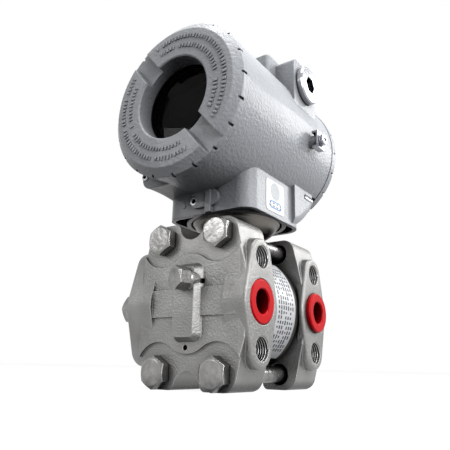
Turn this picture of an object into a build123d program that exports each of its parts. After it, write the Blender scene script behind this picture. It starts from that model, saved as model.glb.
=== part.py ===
"""Differential pressure transmitter: a two-compartment housing on a neck above a measuring cell
that four bolts clamp between two cast process flanges.

Millimetres, Z up. The feet of the flanges stand on Z = 0 with the origin in the middle of the whole part,
the window looks to -Y and the process ports open to +X.
"""
from build123d import *
from math import cos, radians, sin, tan
import os

# Where the main axes lie
port_height = 39.5          # process ports above the feet
housing_y = -1.6            # middle of the housing, so that the whole part is centred
cell_offset = 4.5           # cell and neck axis behind the housing's middle

# Fits
running_gap = 0.06          # radial clearance of what turns or slides
fixed_gap = 0.1             # radial clearance of what is screwed home
seat_gap = 0.3              # axial clearance at a seat that must stay free

# Hexagon heads, as shares of the width across flats
hex_chamfer_start = 0.44    # radius where the cone of the free end starts
hex_reach = 0.7             # radius beyond the corners
hex_chamfer_angle = 30.0
washer_face_share = 0.47

# Measuring cell
cell_radius = 30.6
cell_half = 13.0
cell_gap = 16.0             # from the cell's middle to a flange's inner face
shoulder_radius = 27.0
gasket_outer = 26.5
gasket_inner = 22.0
gasket_thickness = 1.5
diaphragm_thickness = 0.3
capsule_radius = 9.0
capsule_length = 12.0
neck_seat_radius = 12.7
neck_seat_height = 34.0     # flat top of the cell above the port axis

# Process flange, measured outwards from its inner face
flange_thickness = 22.3     # at the bolt lobes
pad_step = 1.3              # raised middle over the lobes
band_step = 1.0             # level band over the raised middle
band_half = 6.5
flange_half_height = 39.5
lobe_half = 25.8
body_half = 31.3
shoulder_level = 16.3       # where the sides turn in towards the lobes
lobe_round = 7.0
notch_radius = 7.8
notch_rise = 38.6
notch_round = 3.0
bolt_x = 17.2
bolt_z = 31.8
bolt_hole_radius = 5.4
wave_radius = 13.9          # edge of the raised middle round each bolt
wave_peak = 23.4            # its height between the bolts
side_bevel_width = 4.0      # bevel of the outer face along its two sides
side_bevel_depth = 2.3
rib_width = 16.6
rib_shift = 0.6
rib_length = 36.6
rib_height = 4.0
rib_draft = 30.0
rib_round = 4.0
chamber_radius = 20.0
chamber_depth = 1.5
pilot_radius = 1.25         # two fine drilled holes in the outer face
pilot_depth = 2.5
pilot_places = [(8.9, 9.4), (-0.3, -20.6)]

# Process connection on both sides of a flange
port_spacing = 54.0
port_reach = 2.0            # right faces beyond the flange's side
left_port_reach = 8.2
port_inset = 10.0           # how far a boss reaches into the flange
port_draft = 4.0
port_recess_radius = 10.5   # seat of the transit plug's rim in a right face
port_recess = 1.75
mount_spacing = 41.3
mount_hole_radius = 5.55
mount_hole_depth = 13.0
diamond_middle = 14.0
diamond_end = 8.7
diamond_round = 1.6
port_radius = 6.8
port_depth = 20.0
passage_radius = 3.0
passage_x = 10.0

# Flange bolts and nuts
bolt_radius = 4.0
bolt_flats = 13.4
bolt_head = 5.3
nut_height = 6.5
bolt_end = 2.6              # thread that shows behind the nut
washer_face = 0.4

# Vent screws
vent_turn = 14.0            # the middle vents lean towards -X
vent_rise = 10.3
vent_shift = 2.6
vent_flats = 9.8
vent_head = 6.2
vent_collar = 1.4
vent_collar_radius = 4.9
vent_collar_draft = 12.0
vent_stem_radius = 3.0
vent_stem = 14.0
vent_spot = 0.7             # spot face wider than the collar
vent_passage_radius = 1.2
side_plug_flats = 13.4
side_plug_head = 10.4
side_plug_stem = 12.0

# Red transit plugs in the ports
plug_rim_radius = 10.3
plug_rim = 2.2
front_plug_proud = 0.45     # the front plug is pressed into its recess, the rear one is not
rear_plug_proud = 2.2
plug_edge = 0.6
plug_bore = 5.6
plug_bore_depth = 9.0
plug_shank = 10.0
plug_draft = 0.5

# Neck
neck_stem_radius = 13.3
neck_bowl_radius = 23.2
neck_collar_radius = 24.2
neck_stem = 5.0             # heights, from the seat upwards
neck_bowl = 7.0
neck_bowl_out = 0.6         # middle of the bowl's curve, as shares of its width and height
neck_bowl_up = 0.32
neck_collar_edge = 1.0
neck_collar = 4.0
neck_thread_radius = 16.0
neck_thread = 11.0
neck_to_axis = 37.9         # top of the neck to the housing axis
neck_wire_radius = 5.0
neck_groove_drop = 4.0
o_ring_section = 1.0

# Housing, measured from its middle along Y
barrel_radius = 40.7
seam = 46.5
face = 54.7
cavity_radius = 34.6
thread_radius = 36.5
thread_depth = 17.5
bulkhead = 3.0              # half its thickness
block_half_width = 27.0
block_half_length = 28.5
block_overlap = 3.4         # how far the block reaches down over the collar
block_round_front = 8.0
block_round_back = 11.0
socket_radius = 25.2
socket_depth = 5.0
pocket_wall = 2.3           # wall round the corner pockets under the block
pocket_depth = 8.0
wire_hole_radius = 3.2
wire_hole_y = 7.0
feedthrough_radius = 6.0
feedthrough_z = 20.0        # below the housing axis

# Cable entries
entry_y = 15.3
entry_rise = 28.3           # above the housing axis
entry_face = 38.6
entry_half = 13.0
entry_bore = 9.25
entry_top = 40.6            # top of the entry block above the housing axis
pad_top = 42.5
pad_half_width = 27.0
pad_front = 8.6             # how far the top pad stands out before the entry block
pad_round = 2.0
entry_head_radius = 10.8
entry_head = 3.0
entry_edge = 0.8
entry_thread = 13.0
entry_depth = 20.0
entry_socket = 9.0
entry_socket_depth = 6.0
entry_seal = 0.8
entry_round = 2.5

# Covers
rim_radius = 41.0
rim_front = 51.2            # where the rim's bevel starts
bevel_radius = 36.9
bevel_drop = 0.3
ring_edge = 34.2
window_radius = 21.8
skirt_length = 9.2
skirt_wall = 3.3
cover_plate = 6.2           # thickness of the cover's plate
cover_edge = 0.6
collar_radius = 28.6
collar_step = 0.4           # the collar ends before the skirt
glass_radius = 25.1
glass_front = 45.7
glass_thickness = 4.4
glass_gasket = 0.4
retainer_inner = 21.6
retainer_length = 2.0
tool_notch_width = 10.2
tool_notch_overrun = 4.0    # how far the notch's cut runs past the rim
tool_notch_depth = 3.8
tool_notch_angle = 129.5
grip_count = 20
grip_start = 1.5
grip_width = 1.3
grip_depth = 1.1
grip_length = 5.0
blind_recess = 1.0
blind_recess_radius = 21.0
groove_front = 1.2          # seal groove behind the rim
groove_width = 2.2

# Cover lock screws in their lugs
lug_side = 29.2
lug_inner = 6.0
lug_drop = 39.5             # end of a lug's underside below the housing axis
lug_start = 19.0            # where the lug's underside leaves the block's bottom
lug_end = 41.0              # from the housing's middle
lug_round = 6.0
lug_bend = 30.0             # where its underside bends, from the housing's middle
lug_belly = 2.0
front_lug_drop = 40.7       # the front lug's underside stays nearly level
lock_x = 27.3
lock_drop = 32.2            # below the housing axis
lock_radius = 2.4
lock_length = 10.0
lock_scoop = 3.6            # room cut ahead of the screw, up to the cover
lock_reach = 0.8
lock_edge = 0.4
lock_socket = 2.5
lock_socket_depth = 3.0

# Neck set screw, in front
set_x = -7.1
set_drop = 44.6             # below the housing axis
set_radius = 2.5
set_length = 12.0
set_hole = 19.1
set_pip_radius = 1.0        # cast pip beside the seat of the set screw
set_pip_x = -14.1
set_pip_drop = 46.2
set_pip = 0.6
set_pad = 1.6
set_pad_half = 9.0
set_pad_height = 9.0
set_recess = 0.6
set_socket = 2.6
stay_rib_x = 2.8
stay_rib_width = 3.6
stay_rib_depth = 2.2
stay_rib_drop = 35.9

# Ground terminal on the right
ground_y = 19.2
ground_drop = 5.7           # below the housing axis
ground_boss_radius = 3.6
ground_boss_end = 44.8
clamp_depth = 8.2
clamp_height = 9.8
clamp_sheet = 1.1
clamp_leg = 3.6             # from the clamp's outer face to the ends of its legs
clamp_hole = 2.3
ground_washer = 0.8
ground_washer_radius = 3.6
ground_head = 1.7
ground_head_radius = 3.2
ground_head_edge = 0.4
ground_screw_radius = 2.0
ground_screw_length = 6.5
ground_socket = 2.5
ground_socket_depth = 1.2

# Electronics
display_radius = 20.4
display_gap = 1.0           # between the display and the cover's collar
display_step = 2.5
display_base_radius = 29.0
screen_width = 26.0
screen_height = 15.0
screen_rise = 4.0
screen_depth = 0.8
module_radius = 31.0
module_front = 33.0
terminal_width = 42.0
terminal_height = 26.0
terminal_depth = 10.0
terminal_drop = 6.0
terminal_round = 3.0
terminal_pitch = 12.0
terminal_screw_radius = 3.6
terminal_screw_head = 2.4

# Labels
label_thickness = 0.2
side_label_width = 18.9
side_label_height = 17.2
side_label_y = 0.7
side_label_drop = 41.3      # below the housing axis
side_label_round = 2.0
cell_label_half = 9.6
cell_label_angle = 51.0

neck_bowl_start = neck_seat_height + neck_stem
neck_bowl_end = neck_bowl_start + neck_bowl
neck_collar_top = neck_bowl_end + neck_collar
neck_thread_top = neck_collar_top + neck_thread
housing_rise = neck_thread_top + neck_to_axis
block_bottom = neck_collar_top - block_overlap
lug_bottom = housing_rise - lug_drop
front_lug_root = housing_rise - front_lug_drop
set_z = housing_rise - set_drop
set_pip_z = housing_rise - set_pip_drop
stay_rib_top = housing_rise - stay_rib_drop
side_label_z = housing_rise - side_label_drop
port_face = body_half + port_reach
left_port_face = body_half + left_port_reach
port_root = body_half - port_inset
cover_pocket = face - cover_plate
housing_height = port_height + housing_rise
cell_y = housing_y + cell_offset
housing_axis = Axis((0, 0, housing_height), (0, 1, 0))
neck_axis = Axis((0, cell_y, 0), (0, 0, 1))
cell_section = Plane(origin=(0, cell_y, port_height), x_dir=(1, 0, 0), z_dir=(0, -1, 0))
entry_section = Plane(
    origin=(-entry_face, housing_y + entry_y, housing_height), x_dir=(0, 1, 0), z_dir=(1, 0, 0)
)
set_plane = Plane(
    origin=(set_x, cell_y - block_half_length - set_pad, port_height + set_z),
    x_dir=(1, 0, 0), z_dir=(0, -1, 0),
)
front, rear = -1, 1
right, left = 1, -1
sides = {"front": front, "rear": rear}
port_faces = {right: port_face, left: left_port_face}
plug_proud = {front: front_plug_proud, rear: rear_plug_proud}


def level(height):
    """Horizontal plane at a height above the port axis, centred on the neck."""
    return Plane(origin=(0, cell_y, port_height + height))


def across(side, distance):
    """Plane across the housing axis, facing outwards at a distance from the housing's middle."""
    origin = (0, housing_y + side * distance, housing_height)
    return Plane(origin=origin, x_dir=(-side, 0, 0), z_dir=(0, side, 0))


def flange_plane(side, distance):
    """Plane of a flange, facing outwards, at a distance from its inner face."""
    origin = (0, cell_y + side * (cell_gap + distance), port_height)
    return Plane(origin=origin, x_dir=(-side, 0, 0), z_dir=(0, side, 0))


def port_plane(side, hand):
    """Face of a process connection, facing outwards to the right or the left."""
    origin = (hand * port_faces[hand], cell_y + side * port_spacing / 2, port_height)
    return Plane(origin=origin, x_dir=(0, 1, 0), z_dir=(hand, 0, 0))


def along(plane):
    """Plane that holds the axis of another: local x is radial and local y runs outwards."""
    return Plane(origin=plane.origin, x_dir=plane.x_dir, z_dir=plane.x_dir.cross(plane.z_dir))


def turn(plane, profile, mode=Mode.ADD):
    """Revolve a closed profile of (radius, height) points round the axis of a plane."""
    with BuildSketch(along(plane)) as section:
        with BuildLine():
            Polyline(*profile, close=True)
        make_face()
    revolve(section.sketch, axis=Axis(plane.origin, plane.z_dir), mode=mode)


def hexagon(plane, flats, height):
    """Hexagonal head that stands on a plane, with its free end turned to a cone."""
    with BuildSketch(plane) as outline:
        RegularPolygon(radius=flats / 2, side_count=6, major_radius=False)
    extrude(outline.sketch, amount=height)
    start = hex_chamfer_start * flats
    reach = hex_reach * flats
    fall = (reach - start) * tan(radians(hex_chamfer_angle))
    turn(plane, [(start, height), (reach, height), (reach, height - fall)], Mode.SUBTRACT)


def socket(plane, flats, depth):
    """Hexagon socket sunk into a face."""
    with BuildSketch(plane) as outline:
        RegularPolygon(radius=flats / 2, side_count=6, major_radius=False)
    extrude(outline.sketch, amount=-depth, mode=Mode.SUBTRACT)


def entry_plane(hand):
    """Face of a cable entry."""
    origin = (hand * entry_face, housing_y + entry_y, housing_height + entry_rise)
    return Plane(origin=origin, x_dir=(0, 1, 0), z_dir=(hand, 0, 0))


def ground_plane(distance):
    """Plane across the ground boss, facing right at a distance from the housing's middle."""
    origin = (distance, housing_y + ground_y, housing_height - ground_drop)
    return Plane(origin=origin, x_dir=(0, 1, 0), z_dir=(1, 0, 0))


def lock_plane(side):
    """End face of the lug of a cover's lock screw, centred on the screw."""
    lug = across(side, lug_end)
    return Plane(origin=lug.from_local_coords((-lock_x, -lock_drop, 0)), x_dir=lug.x_dir, z_dir=lug.z_dir)


def vent_plane(side):
    """Seat of a middle vent screw on the rib of a flange."""
    seat = flange_plane(side, flange_thickness + pad_step + rib_height)
    lean = seat.x_dir * -sin(radians(vent_turn)) + seat.z_dir * cos(radians(vent_turn))
    origin = seat.from_local_coords((vent_shift, vent_rise, 0))
    return Plane(origin=origin, x_dir=seat.y_dir, z_dir=lean)


def make_flange(side):
    """Cast process flange; the rear one is the same casting turned round."""
    top = flange_thickness + pad_step
    outer_top = flange_plane(side, top)
    port_offset = port_spacing / 2 - cell_gap
    # Arc of the raised middle between two bolts, tangent to the arcs round them
    lift = bolt_z - wave_peak
    middle_radius = (bolt_x**2 + lift**2 - wave_radius**2) / (2 * (wave_radius - lift))
    middle_z = wave_peak - middle_radius
    reach = middle_radius / (middle_radius + wave_radius)
    join_x = bolt_x * reach
    join_z = middle_z + (bolt_z - middle_z) * reach
    with BuildPart() as flange:
        with BuildSketch(flange_plane(side, 0)) as outline:
            with BuildLine():
                corners = [(lobe_half, flange_half_height), (body_half, shoulder_level)]
                corners += [(x, -z) for x, z in reversed(corners)]
                corners += [(-x, z) for x, z in reversed(corners)]
                Polyline(*corners, close=True)
            make_face()
            lobe_corners = outline.vertices().group_by(Axis.Z)
            fillet(lobe_corners[0] + lobe_corners[-1], lobe_round)
            with Locations((0, notch_rise), (0, -notch_rise)):
                Circle(notch_radius, mode=Mode.SUBTRACT)
            notch_tips = [v for v in outline.vertices() if abs(v.X) < notch_radius + 0.5]
            fillet(notch_tips, notch_round)
        extrude(amount=top)
        # Bolt lobes lie lower than the raised middle
        for up in (1, -1):
            with BuildSketch(outer_top):
                with Locations((-bolt_x, up * bolt_z), (bolt_x, up * bolt_z)):
                    Circle(wave_radius)
                with Locations((0, up * (bolt_z + wave_radius))):
                    Rectangle(3 * body_half, 2 * wave_radius)
                with Locations((0, up * (join_z + bolt_z) / 2)):
                    Rectangle(2 * join_x, bolt_z - join_z)
                with Locations((0, up * middle_z)):
                    Circle(middle_radius, mode=Mode.SUBTRACT)
            extrude(amount=-pad_step, mode=Mode.SUBTRACT)
        # Level band and drafted rib
        with BuildSketch(outer_top):
            Rectangle(2 * body_half, 2 * band_half)
        extrude(amount=band_step)
        # Bevel of the outer face along its two sides
        crest = cell_gap + top + band_step
        for hand in (right, left):
            with BuildSketch(level(-flange_half_height)):
                with BuildLine():
                    Polyline(
                        (hand * (body_half - side_bevel_width), side * crest),
                        (hand * (body_half + seat_gap), side * crest),
                        (hand * (body_half + seat_gap), side * (crest - side_bevel_depth)),
                        (hand * body_half, side * (crest - side_bevel_depth)), close=True,
                    )
                make_face()
            extrude(amount=2 * flange_half_height, mode=Mode.SUBTRACT)
        with BuildSketch(outer_top):
            with Locations((rib_shift, 0)):
                RectangleRounded(rib_width, rib_length, rib_round)
        extrude(amount=rib_height, taper=rib_draft)
        # Process connection bosses on both sides
        for hand in (right, left):
            with BuildSketch(port_plane(side, hand)):
                Circle(diamond_middle)
                with Locations((0, mount_spacing / 2), (0, -mount_spacing / 2)):
                    Circle(diamond_end)
                make_hull()
            extrude(amount=port_root - port_faces[hand], taper=-port_draft)
        upright = flange.faces().filter_by(Plane.YZ).sort_by(Axis.X)
        for boss in (upright[0], upright[-1]):
            fillet(boss.edges(), diamond_round)
        # Room for the cell between the bosses, and the pressure chamber
        with BuildSketch(flange_plane(side, 0)):
            Circle(cell_radius + 2 * seat_gap)
        extrude(amount=-2 * diamond_middle, mode=Mode.SUBTRACT)
        with BuildSketch(flange_plane(side, 0)):
            Circle(chamber_radius)
        extrude(amount=chamber_depth, mode=Mode.SUBTRACT)
        # Bolt holes, ports, mounting holes and the drilled passages
        with BuildSketch(flange_plane(side, 0)):
            with GridLocations(2 * bolt_x, 2 * bolt_z, 2, 2):
                Circle(bolt_hole_radius)
        extrude(amount=top, mode=Mode.SUBTRACT)
        for hand in (right, left):
            with BuildSketch(port_plane(side, hand)):
                with GridLocations(1, mount_spacing, 1, 2):
                    Circle(mount_hole_radius)
            extrude(amount=-mount_hole_depth, mode=Mode.SUBTRACT)
            with BuildSketch(port_plane(side, hand)):
                Circle(port_radius)
            extrude(amount=-port_depth, mode=Mode.SUBTRACT)
            with BuildSketch(port_plane(side, hand)):
                Circle(passage_radius)
            extrude(amount=passage_x - port_faces[hand], mode=Mode.SUBTRACT)
            with BuildSketch(flange_plane(side, 0)):
                with Locations((hand * passage_x, 0)):
                    Circle(passage_radius)
            extrude(amount=port_offset, mode=Mode.SUBTRACT)
        with BuildSketch(port_plane(side, right)):
            Circle(port_recess_radius)
        extrude(amount=-port_recess, mode=Mode.SUBTRACT)
        with BuildSketch(flange_plane(side, top + rib_height)):
            with Locations(*pilot_places):
                Circle(pilot_radius)
        extrude(amount=-rib_height - pilot_depth, mode=Mode.SUBTRACT)
        # Spot-faced seat, bore and fine passage of the middle vent screw
        with BuildSketch(vent_plane(side)):
            Circle(vent_collar_radius)
        extrude(amount=-rib_height)
        with BuildSketch(vent_plane(side)):
            Circle(vent_collar_radius + vent_spot)
        extrude(amount=rib_height, mode=Mode.SUBTRACT)
        with BuildSketch(vent_plane(side)):
            Circle(vent_stem_radius + running_gap)
        extrude(amount=-vent_stem - seat_gap, mode=Mode.SUBTRACT)
        with BuildSketch(vent_plane(side)):
            Circle(vent_passage_radius)
        extrude(amount=-2 * top, mode=Mode.SUBTRACT)
    return flange


def make_side_plug(side):
    """Hexagon plug in the left port of a flange."""
    seat = port_plane(side, left)
    with BuildPart() as plug:
        with BuildSketch(seat):
            Circle(port_radius - fixed_gap)
        extrude(amount=-side_plug_stem)
        with BuildSketch(seat):
            Circle(washer_face_share * side_plug_flats)
        extrude(amount=washer_face)
        hexagon(seat.offset(washer_face), side_plug_flats, side_plug_head)
    return plug


def make_middle_vent(side):
    """Vent screw on the rib of a flange: hexagon, collar and stem."""
    seat = vent_plane(side)
    with BuildPart() as vent:
        with BuildSketch(seat):
            Circle(vent_stem_radius)
        extrude(amount=-vent_stem)
        with BuildSketch(seat):
            Circle(vent_collar_radius)
        extrude(amount=vent_collar, taper=vent_collar_draft)
        hexagon(seat.offset(vent_collar), vent_flats, vent_head)
    return vent


def make_port_plug(side):
    """Soft transit plug: a rim at the port face and a hollow shank in the port."""
    seat = port_plane(side, right).offset(plug_proud[side] - plug_rim)
    shank = port_radius - fixed_gap
    with BuildPart() as plug:
        turn(seat, [
            (0, -plug_shank), (shank - plug_draft, -plug_shank), (shank, 0), (plug_rim_radius, 0),
            (plug_rim_radius, plug_rim - plug_edge), (plug_rim_radius - plug_edge, plug_rim),
            (plug_bore + plug_edge, plug_rim), (plug_bore, plug_rim - plug_edge),
            (plug_bore - plug_draft, plug_rim - plug_bore_depth), (0, plug_rim - plug_bore_depth),
        ])
    return plug


def make_cover(side, blind):
    """Screwed cover: ring face, bevelled rim and skirt, as a window frame or a blind disc."""
    skirt = thread_radius - running_gap
    skirt_end = seam - skirt_length
    rim_back = seam + seat_gap
    groove_start = rim_back - groove_front
    groove_bottom = skirt - 2 * o_ring_section
    ring = [
        (ring_edge, face), (bevel_radius, face - bevel_drop), (rim_radius, rim_front),
        (rim_radius, rim_back), (skirt, rim_back), (skirt, groove_start),
        (groove_bottom, groove_start), (groove_bottom, groove_start - groove_width),
        (skirt, groove_start - groove_width), (skirt, skirt_end), (skirt - skirt_wall, skirt_end),
        (skirt - skirt_wall, cover_pocket),
    ]
    if blind:
        inside = [(0, cover_pocket)]
        outside = [
            (0, face - blind_recess), (blind_recess_radius, face - blind_recess),
            (blind_recess_radius + cover_edge, face),
        ]
    else:
        inside = [
            (collar_radius, cover_pocket), (collar_radius, skirt_end + collar_step),
            (glass_radius, skirt_end + collar_step), (glass_radius, glass_front),
            (window_radius, glass_front),
        ]
        outside = [(window_radius, face - cover_edge), (window_radius + cover_edge, face)]
    with BuildPart() as cover:
        turn(across(side, 0), ring + inside + outside)
        # Two notches for the cover key, on one diameter
        with BuildSketch(across(side, face)):
            with PolarLocations((rim_radius + window_radius) / 2, 2, tool_notch_angle):
                Rectangle(rim_radius - window_radius + tool_notch_overrun, tool_notch_width)
        extrude(amount=-tool_notch_depth, mode=Mode.SUBTRACT)
        # Grip slots round the bevel
        with BuildSketch(across(side, face)):
            with PolarLocations(rim_radius, grip_count, grip_start):
                Rectangle(2 * grip_depth, grip_width)
        extrude(amount=-(face - rim_front + grip_length / 2), mode=Mode.SUBTRACT)
    return cover


def make_cover_seal(side):
    """O-ring in the groove of a cover's skirt."""
    skirt = thread_radius - running_gap
    centre = seam + seat_gap - groove_front - groove_width / 2
    with BuildPart() as seal:
        with BuildSketch(along(across(side, 0))):
            with Locations((skirt - o_ring_section, centre)):
                Circle(o_ring_section - 0.05)
        revolve(axis=housing_axis)
    return seal


def make_lock_screw(side):
    """Socket screw in the lug beside a cover."""
    head = lock_plane(side).offset(lock_reach)
    with BuildPart() as screw:
        turn(head, [
            (0, -lock_length), (lock_radius - fixed_gap, -lock_length),
            (lock_radius - fixed_gap, -lock_edge), (lock_radius - fixed_gap - lock_edge, 0), (0, 0),
        ])
        socket(head, lock_socket, lock_socket_depth)
    return screw


def make_lug(root_height):
    """Lug of the rear lock screw: a wing beside the block with a curved underside."""
    with BuildPart() as lug:
        with BuildSketch(Plane(origin=(lug_inner, housing_y, port_height), x_dir=(0, 1, 0), z_dir=(1, 0, 0))):
            with BuildLine():
                tip = (lug_end, lug_bottom)
                root = (lug_start, root_height)
                Bezier(tip, (lug_bend, root_height + lug_belly), root)
                Polyline(root, (lug_start, housing_rise), (lug_end, housing_rise), tip)
            make_face()
        extrude(amount=lug_side - lug_inner)
        fillet(lug.edges().group_by(Axis.X)[-1].sort_by(Axis.Z)[0], lug_round)
    return lug.part


def make_entry_plug(hand):
    """Blanking plug with a hexagon socket in a cable entry."""
    seat = entry_plane(hand).offset(entry_seal)
    with BuildPart() as plug:
        turn(seat, [
            (0, -entry_thread), (entry_bore - fixed_gap, -entry_thread), (entry_bore - fixed_gap, 0),
            (entry_head_radius, 0), (entry_head_radius, entry_head - entry_edge),
            (entry_head_radius - entry_edge, entry_head), (0, entry_head),
        ])
        socket(seat.offset(entry_head), entry_socket, entry_socket_depth)
    return plug


def make_entry_seal(hand):
    """Flat ring under the head of a blanking plug."""
    with BuildPart() as seal:
        with BuildSketch(entry_plane(hand)):
            Circle(entry_head_radius)
            Circle(entry_bore, mode=Mode.SUBTRACT)
        extrude(amount=entry_seal)
    return seal


# Measuring cell: a turned body with a flat seat for the neck
with BuildPart() as cell_body:
    with BuildSketch(cell_section):
        Circle(cell_radius)
    extrude(amount=cell_half, both=True)
    with BuildSketch(cell_section):
        Circle(shoulder_radius)
    extrude(amount=cell_gap - gasket_thickness, both=True)
    with BuildSketch(level(cell_radius / 2)):
        Circle(neck_seat_radius)
        Rectangle(2 * neck_seat_radius, 2 * cell_half, mode=Mode.INTERSECT)
    extrude(amount=neck_seat_height - cell_radius / 2)
    for side in (front, rear):
        with BuildSketch(flange_plane(side, -gasket_thickness)):
            Circle(gasket_inner - fixed_gap)
        extrude(amount=-diaphragm_thickness, mode=Mode.SUBTRACT)
    with BuildSketch(cell_section):
        Circle(capsule_radius + fixed_gap)
    extrude(amount=capsule_length / 2 + fixed_gap, both=True, mode=Mode.SUBTRACT)

with BuildPart() as sensor_capsule:
    with BuildSketch(cell_section):
        Circle(capsule_radius)
    extrude(amount=capsule_length / 2, both=True)

diaphragms = {}
gaskets = {}
for name, side in sides.items():
    with BuildPart() as diaphragm:
        with BuildSketch(flange_plane(side, -gasket_thickness - diaphragm_thickness)):
            Circle(gasket_inner - 2 * fixed_gap)
        extrude(amount=diaphragm_thickness)
    diaphragms[name] = diaphragm
    with BuildPart() as gasket:
        with BuildSketch(flange_plane(side, -gasket_thickness)):
            Circle(gasket_outer)
            Circle(gasket_inner, mode=Mode.SUBTRACT)
        extrude(amount=gasket_thickness)
    gaskets[name] = gasket

with BuildPart() as cell_label:
    with BuildSketch(Plane(origin=(0, cell_y - cell_label_half, port_height),
                           x_dir=(1, 0, 0), z_dir=(0, -1, 0))):
        with BuildLine():
            inner = CenterArc((0, 0), cell_radius, -cell_label_angle, 2 * cell_label_angle)
            outer = CenterArc((0, 0), cell_radius + label_thickness,
                              -cell_label_angle, 2 * cell_label_angle)
            Line(inner @ 0, outer @ 0)
            Line(inner @ 1, outer @ 1)
        make_face()
    extrude(amount=-2 * cell_label_half)

# Process flanges with their bolts, nuts, vents and transit plugs
flanges = {name: make_flange(side) for name, side in sides.items()}
middle_vents = {name: make_middle_vent(side) for name, side in sides.items()}
side_plugs = {name: make_side_plug(side) for name, side in sides.items()}
port_plugs = {name: make_port_plug(side) for name, side in sides.items()}

bolt_places = [(x, z) for x in (-bolt_x, bolt_x) for z in (-bolt_z, bolt_z)]
bolt_length = 2 * (cell_gap + flange_thickness) + nut_height + bolt_end
with BuildPart() as flange_bolts:
    for x, z in bolt_places:
        lobe = flange_plane(front, flange_thickness)
        seat = Plane(origin=lobe.from_local_coords((x, -z, 0)), x_dir=(0, 0, 1), z_dir=lobe.z_dir)
        with BuildSketch(seat):
            Circle(bolt_radius)
        extrude(amount=-bolt_length)
        with BuildSketch(seat):
            Circle(washer_face_share * bolt_flats)
        extrude(amount=washer_face)
        hexagon(seat.offset(washer_face), bolt_flats, bolt_head - washer_face)

with BuildPart() as flange_nuts:
    for x, z in bolt_places:
        lobe = flange_plane(rear, flange_thickness)
        seat = Plane(origin=lobe.from_local_coords((x, z, 0)), x_dir=(0, 0, 1), z_dir=lobe.z_dir)
        hexagon(seat, bolt_flats, nut_height)
        with BuildSketch(seat):
            Circle(bolt_radius + fixed_gap / 2)
        extrude(amount=nut_height, mode=Mode.SUBTRACT)

# Neck: stem, bowl and collar, with the thread that the housing turns on
with BuildPart() as neck:
    with BuildSketch(cell_section):
        with BuildLine():
            start = (neck_stem_radius, neck_bowl_start)
            end = (neck_bowl_radius, neck_bowl_end)
            Polyline((neck_wire_radius, neck_seat_height), (neck_stem_radius, neck_seat_height), start)
            ThreePointArc(start, (
                neck_stem_radius + neck_bowl_out * (neck_bowl_radius - neck_stem_radius),
                neck_bowl_start + neck_bowl_up * (neck_bowl_end - neck_bowl_start),
            ), end)
            groove = neck_thread_radius - 2 * o_ring_section
            groove_low = neck_thread_top - neck_groove_drop
            Polyline(
                end, (neck_collar_radius, neck_bowl_end + neck_collar_edge),
                (neck_collar_radius, neck_collar_top),
                (neck_thread_radius, neck_collar_top), (neck_thread_radius, groove_low),
                (groove, groove_low), (groove, groove_low + groove_width),
                (neck_thread_radius, groove_low + groove_width),
                (neck_thread_radius, neck_thread_top), (neck_wire_radius, neck_thread_top),
                (neck_wire_radius, neck_seat_height),
            )
        make_face()
    revolve(axis=neck_axis)

with BuildPart() as neck_seal:
    with BuildSketch(cell_section):
        with Locations((neck_thread_radius - o_ring_section, groove_low + groove_width / 2)):
            Circle(o_ring_section - 0.05)
    revolve(axis=neck_axis)

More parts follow.
